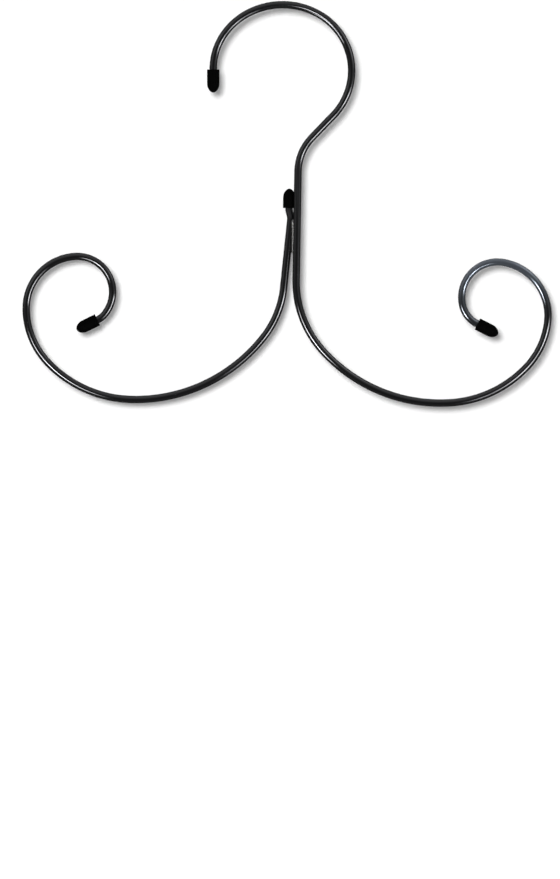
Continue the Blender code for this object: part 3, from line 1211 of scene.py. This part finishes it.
@dataclass
class Studio:
    """A pale backdrop, a soft key lamp, softboxes for the gloss, a white room and the camera.

    Attributes:
        frame_height: Height of the picture at the hanger's plane.
        camera_distance: Distance of the camera from that plane.
        aim: The point of that plane in the middle of the picture, as X and Z.
        sensor: Long side of the camera's sensor, in millimetres.
        backdrop_place: Distance of the backdrop behind the hanger's plane.
        backdrop_size: Length of its sides.
        backdrop_colour: Its colour.
        backdrop_glow: Light that it adds for the camera alone.
        key_slope: How far the key lamp's light goes right and down for each metre that it goes back.
        key_spread: Angle across the key lamp, in degrees.
        key_level: Light that it throws on a plain white surface.
        room_level: Light that the room throws on a plain white surface.
        room_gloss: Brightness of the room in the gloss beside the camera.
        wall_gloss: What the walls add to it away from the camera.
        wall_edge: Cosine of the angle from the camera's side at which they add all of that.
        ceiling_gloss: What the ceiling adds to it.
        softboxes: The lamps that show in the gloss. The last two stand close to what they face, the
            crown and the neck.
    """

    frame_height: float = 0.48345
    camera_distance: float = 14.0
    aim: tuple[float, float] = (-0.00140, -0.23702)
    sensor: float = 36.0
    backdrop_place: float = 0.0226
    backdrop_size: float = 3.0
    backdrop_colour: float = 0.9
    backdrop_glow: float = 0.05
    key_slope: tuple[float, float] = (0.10, 0.10)
    key_spread: float = 10.6
    key_level: float = 0.80
    room_level: float = 0.33
    room_gloss: float = 0.095
    wall_gloss: float = 0.41
    wall_edge: float = -0.2
    ceiling_gloss: float = 1.20
    softboxes: tuple[Softbox, ...] = (
        Softbox("softbox_left_low", (-0.400, -0.660, -0.490), 104.0, 10.5),
        Softbox("softbox_left_under", (-0.186, -0.303, -0.365), 42.0, 8.5),
        Softbox("softbox_left", (-0.650, -0.740, -0.460), 72.0, 9.0),
        Softbox("softbox_left_high", (-3.7, -2.87, 1.62), 1.2, 32.0),
        Softbox("softbox_right_low", (0.354, -0.429, -0.420), 58.0, 12.5),
        Softbox("softbox_right_under", (0.235, -0.395, -0.491), 26.0, 10.0),
        Softbox("softbox_right", (0.599, -0.593, -0.340), 66.0, 11.0),
        Softbox("softbox_right_side", (0.775, -0.480, -0.310), 32.0, 9.0),
        Softbox("softbox_right_wall", (3.6, -3.4, 0.0), 0.7, 26.0),
        Softbox("softbox_right_far", (1.390, -0.513, -0.355), 4.0, 14.0),
        Softbox("softbox_right_high", (0.294, -0.124, 0.080), 4.5, 24.0),
        Softbox("softbox_behind", (-0.7, 7.8, -1.9), 14.0, 9.0),
        Softbox("softbox_crown", (0.0094, -0.0571, -0.0184), 84.0, 8.0, (0.0179, 0.0, -0.0019)),
        Softbox("softbox_neck", (0.0060, -0.1000, -0.0980), 1.15, 15.0, (0.0085, 0.0, -0.0980)),
    )

    def hang_backdrop(self) -> None:
        """Hang the white backdrop behind the hanger. It can't be seen from behind."""
        half = self.backdrop_size / 2
        corners = [(-half, self.backdrop_place, -half), (half, self.backdrop_place, -half),
                   (half, self.backdrop_place, half), (-half, self.backdrop_place, half)]
        mesh = bpy.data.meshes.new("backdrop")
        mesh.from_pydata(corners, [], [(0, 1, 2, 3)])
        material = bpy.data.materials.new("backdrop_white")
        material.use_nodes = True
        bench = NodeBench(material.node_tree)
        path = bench.add("ShaderNodeLightPath")
        face = bench.add("ShaderNodeNewGeometry")
        colour = (self.backdrop_colour,) * 3
        paper = bench.add("ShaderNodeBsdfPrincipled", Base_Color=(*colour, 1.0), Roughness=1.0)
        paper.inputs["Specular IOR Level"].default_value = 0.0
        lift = bench.math("MULTIPLY", path.outputs["Is Camera Ray"], self.backdrop_glow)
        glow = bench.add("ShaderNodeEmission", Strength=lift)
        lit = bench.add("ShaderNodeAddShader")
        bench.tree.links.new(paper.outputs[0], lit.inputs[0])
        bench.tree.links.new(glow.outputs[0], lit.inputs[1])
        clear = bench.add("ShaderNodeBsdfTransparent")
        shown = bench.add("ShaderNodeMixShader", Fac=face.outputs["Backfacing"])
        bench.tree.links.new(lit.outputs[0], shown.inputs[1])
        bench.tree.links.new(clear.outputs[0], shown.inputs[2])
        bench.add("ShaderNodeOutputMaterial", Surface=shown.outputs[0])
        mesh.materials.append(material)
        backdrop = bpy.data.objects.new("backdrop", mesh)
        backdrop.visible_glossy = False
        backdrop.visible_shadow = False
        bpy.context.scene.collection.objects.link(backdrop)

    def light_key(self) -> None:
        """Light the hanger from the upper left, so that its shadow falls to the lower right."""
        across, down = self.key_slope
        way = Vector((across, 1.0, -down)).normalized()
        lamp = bpy.data.lights.new("key", "SUN")
        lamp.energy = self.key_level * math.pi / way.y
        lamp.angle = math.radians(self.key_spread)
        thing = bpy.data.objects.new("key", lamp)
        thing.rotation_mode = "QUATERNION"
        thing.rotation_quaternion = way.to_track_quat("-Z", "Y")
        thing.location = -way
        thing.visible_glossy = False
        bpy.context.scene.collection.objects.link(thing)

    def paint_room(self) -> None:
        """Surround the hanger with a room: white to the camera, and in the gloss darkest on its side."""
        world = bpy.data.worlds.new("white_room")
        bpy.context.scene.world = world
        world.use_nodes = True
        bench = NodeBench(world.node_tree)
        path = bench.add("ShaderNodeLightPath")
        way = bench.add("ShaderNodeTexCoord")
        ahead = bench.toward(way.outputs["Generated"], (0.0, -1.0, 0.0))
        above = bench.toward(way.outputs["Generated"], (0.0, 0.0, 1.0))
        walls = bench.spread(ahead, (self.wall_edge, 1.0), (self.wall_gloss, 0.0))
        ceiling = bench.spread(above, (0.0, 1.0), (0.0, self.ceiling_gloss))
        gloss = bench.math("ADD", bench.math("ADD", walls, ceiling), self.room_gloss)
        seen = bench.math("MAXIMUM", path.outputs["Is Glossy Ray"], path.outputs["Is Transmission Ray"])
        level = bench.math("ADD", bench.math("MULTIPLY", seen, gloss),
                           bench.math("MULTIPLY", bench.math("SUBTRACT", 1.0, seen), self.room_level))
        camera = path.outputs["Is Camera Ray"]
        other = bench.math("SUBTRACT", 1.0, camera)
        strength = bench.math("ADD", camera, bench.math("MULTIPLY", other, level))
        room = bench.add("ShaderNodeBackground", Strength=strength)
        room.inputs["Color"].default_value = (1.0, 1.0, 1.0, 1.0)
        bench.add("ShaderNodeOutputWorld", Surface=room.outputs[0])

    def set_camera(self) -> None:
        """Set the camera square to the hanger, far enough off that it sees the hanger almost flat."""
        camera = bpy.data.cameras.new("camera")
        camera.sensor_width = self.sensor
        camera.lens = self.sensor * self.camera_distance / self.frame_height
        thing = bpy.data.objects.new("camera", camera)
        thing.location = (self.aim[0], -self.camera_distance, self.aim[1])
        thing.rotation_euler = (math.pi / 2, 0.0, 0.0)
        bpy.context.scene.collection.objects.link(thing)
        bpy.context.scene.camera = thing

    def build(self) -> None:
        """Set up the whole studio."""
        low, high = cad_box
        middle = (low + high) / 2
        self.hang_backdrop()
        self.light_key()
        self.paint_room()
        for softbox in self.softboxes:
            softbox.light(middle)
        self.set_camera()
        bpy.context.scene.view_settings.view_transform = "Standard"


@dataclass
class Hanger:
    """The whole hanger: its wires, welds and tips, built from the long wire outwards.

    Attributes:
        stock: The wire.
        tip: The tip on the hook and on both scrolls.
        tail_tip: The shorter tip on the short wire's tail.
        rear_phase: Where the rear bead's first swell starts, in radians, so that it is no copy of the
            front one.
    """

    stock: Stock = Stock()
    tip: PushOnTip = PushOnTip()
    tail_tip: PushOnTip = PushOnTip(length=0.0107)
    rear_phase: float = 2.1

    def build(self) -> None:
        """Build and dress every piece."""
        wire = BlackWireFinish().material()
        weld = WeldFinish().material()
        vinyl = VinylFinish().material()

        long_wire = LongWire(self.stock, self.tip)
        long_wire.build(wire)
        neck = Neck(long_wire.neck_top, long_wire.neck_heading)
        short_wire = ShortWire(self.stock, neck, self.tip, self.tail_tip)
        short_wire.build(wire)

        for bead, facing in (
            (WeldBead("front_weld_bead", "weld_front"), neck.front),
            (WeldBead("rear_weld_bead", "weld_rear", phase=self.rear_phase), -neck.front),
        ):
            bead.build(neck, self.spacing_at(short_wire, neck, bead.drops()), facing, weld)

        for tip, name, node, body, seat in (
            (self.tip, "hook_vinyl_tip", "hook_tip", Body.HOOK_TIP, long_wire.hook_seat),
            (self.tip, "right_vinyl_tip", "right_scroll_tip", Body.RIGHT_SCROLL_TIP, long_wire.scroll_seat),
            (self.tip, "left_vinyl_tip", "left_scroll_tip", Body.LEFT_SCROLL_TIP, short_wire.scroll_seat),
            (self.tail_tip, "tail_vinyl_tip", "tail_tip", Body.TAIL_TIP, short_wire.tail_seat),
        ):
            tip.build(name, node, body, seat, vinyl)

    @staticmethod
    def spacing_at(short_wire: ShortWire, neck: Neck, drops: np.ndarray) -> np.ndarray:
        """Work out how far the short wire's centreline lies from the neck's.

        A point's distance is the length of what is left of it, seen from the neck's top, without its part
        along the neck. It is interpolated between the points.

        Args:
            short_wire: The short wire.
            neck: The neck.
            drops: How far below the neck's top the distance is wanted.

        Returns:
            The distance at each of those drops.
        """
        points = short_wire.centreline() - neck.top
        fall = points @ neck.down
        near = fall < drops.max() + short_wire.stock.ease
        apart = np.linalg.norm(points - fall[:, None] * neck.down, axis=1)
        return np.interp(drops, fall[near], apart[near])


def main() -> None:
    """Build the hanger and the studio around it."""
    logging.basicConfig(level=logging.INFO, format="%(name)s: %(message)s")
    Hanger().build()
    Studio().build()


if __name__ == "__main__":
    main()
